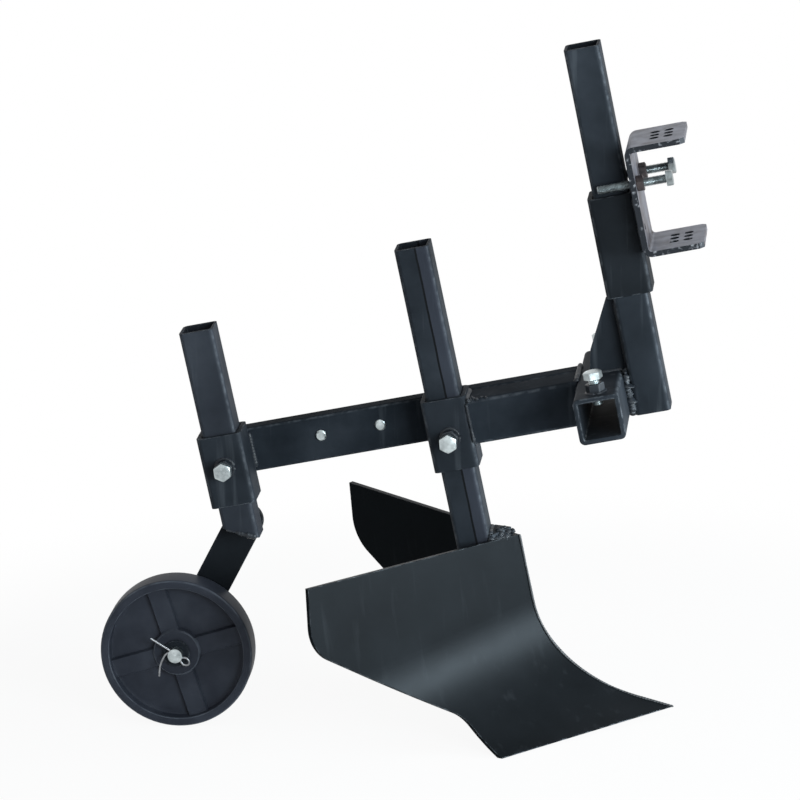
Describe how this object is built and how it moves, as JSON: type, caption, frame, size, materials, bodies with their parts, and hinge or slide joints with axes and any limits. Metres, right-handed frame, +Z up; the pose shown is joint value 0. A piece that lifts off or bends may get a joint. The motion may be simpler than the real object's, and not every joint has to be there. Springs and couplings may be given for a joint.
{
  "type": "ridging plough attachment with gauge wheel",
  "caption": "Furrow-opening ridging plough on a tube frame, with curved wings, a height-set gauge wheel, a cross socket and a pinned hitch bracket.",
  "frame": {"origin": "on the floor, under the middle of the machine's outline", "axes": "+X forward to the hitch, +Y to the side that carries the beam, +Z up"},
  "size_m": [0.6839, 0.42, 0.752],
  "materials": {
    "black_paint": "semi-gloss black paint over steel",
    "zinc": "bright zinc plate",
    "bare_steel": "bare grey steel plate",
    "cast_wheel": "satin black paint over a casting"
  },
  "bodies": {
    "frame": {"beam": "black_paint", "beam_bolts": "zinc", "front_tube": "black_paint", "cross_socket": "black_paint", "socket_nuts": "black_paint", "socket_clamp_bolts": "zinc", "gusset": "black_paint", "post": "black_paint", "rear_sleeve": "black_paint", "rear_clamp_bolt": "zinc", "middle_sleeve": "black_paint", "middle_clamp_bolt": "zinc", "sleeve_nuts": "black_paint"},
    "hitch": {"hitch_sleeve": "black_paint", "hitch_clamp_bolt": "zinc", "hitch_clamp_nut": "black_paint", "hitch_bracket": "bare_steel", "hitch_nuts": "black_paint", "hitch_stop_bolts": "zinc"},
    "leg": {"rear_leg": "black_paint", "wheel_arm": "black_paint", "axle": "zinc", "wheel_washer": "black_paint"},
    "wheel": {"gauge_wheel": "cast_wheel"},
    "plough": {"plough_shank": "black_paint", "nose_block": "black_paint", "near_wing": "black_paint", "far_wing": "black_paint"}
  },
  "joints": [
    {"name": "hitch_slide", "type": "slide", "parent": "frame", "child": "hitch", "axis": [-0.1558, 0, 0.9878], "range_m": [0, 0.14]},
    {"name": "plough_slide", "type": "slide", "parent": "frame", "child": "plough", "axis": [-0.1558, 0, 0.9878], "range_m": [-0.15, 0.07]},
    {"name": "leg_slide", "type": "slide", "parent": "frame", "child": "leg", "axis": [-0.1558, 0, 0.9878], "range_m": [-0.11, 0.003]},
    {"name": "wheel_spin", "type": "hinge", "parent": "leg", "child": "wheel", "pos_m": [-0.25695, -0.004, 0.085], "axis": [0, 1, 0], "continuous": true}
  ]
}
